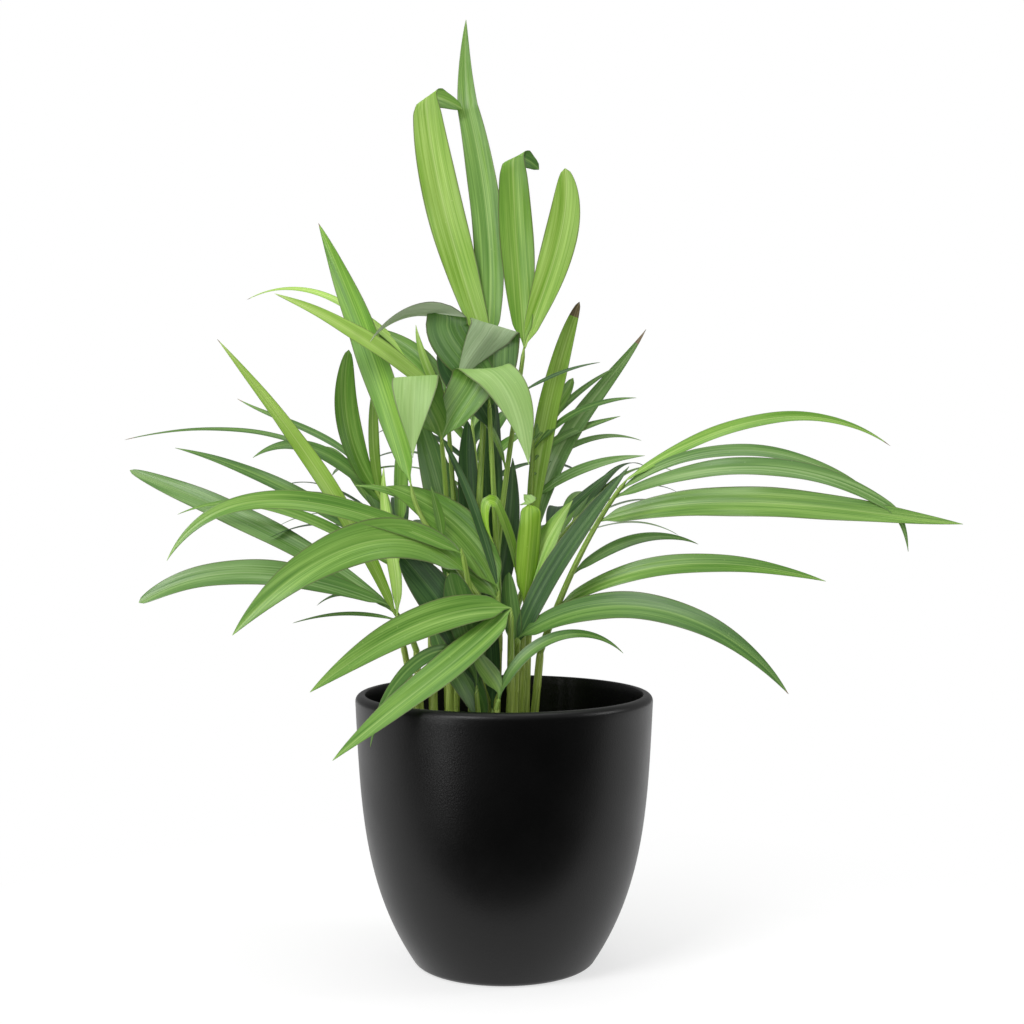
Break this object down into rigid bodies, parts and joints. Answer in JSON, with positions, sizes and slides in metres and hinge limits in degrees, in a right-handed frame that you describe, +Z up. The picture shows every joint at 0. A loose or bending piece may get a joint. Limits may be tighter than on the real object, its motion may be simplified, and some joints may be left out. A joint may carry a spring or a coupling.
{
  "type": "potted areca palm",
  "caption": "Young areca palm with arching pleated fronds on slim canes, growing in soil in a round black tumbler planter.",
  "frame": {"origin": "centre of the flat underside of the pot", "axes": "+Z up, +X to the right and +Y to the back as the plant is seen from its front"},
  "size_m": [0.5098, 0.2619, 0.571],
  "materials": {
    "planter": "matte black, fine pebbled",
    "soil": "loose potting mix of bark and peat",
    "cane": "smooth, satin",
    "leaf": "pleated, satin"
  },
  "bodies": {
    "root": {"pot": "planter", "soil": "soil", "cane_far_left": "cane", "cane_left_rear": "cane", "cane_left": "cane", "cane_left_front": "cane", "cane_left_back": "cane", "cane_middle": "cane", "cane_middle_front": "cane", "cane_centre_back": "cane", "cane_centre": "cane", "cane_centre_low": "cane", "cane_centre_front": "cane", "cane_low_left": "cane", "cane_low_right": "cane", "cane_sucker": "cane", "cane_front": "cane", "cane_right_front": "cane", "cane_shoot": "cane", "cane_right": "cane", "cane_right_back": "cane", "cane_back_left": "cane", "cane_back": "cane", "cane_back_right": "cane", "frond_tall_left": "leaf", "frond_tall_right": "leaf", "frond_folded_back": "leaf", "frond_folded_front": "leaf", "frond_left_upright": "leaf", "frond_left_high": "leaf", "frond_left_fan": "leaf", "frond_left_bright": "leaf", "frond_left_low": "leaf", "frond_left_middle": "leaf", "frond_centre": "leaf", "frond_front": "leaf", "frond_right_front": "leaf", "new_shoot": "leaf", "frond_low_left": "leaf", "frond_low_right": "leaf", "frond_sucker": "leaf", "frond_right": "leaf", "frond_right_back": "leaf", "frond_back_left": "leaf", "frond_back": "leaf", "frond_back_right": "leaf"}
  },
  "joints": []
}
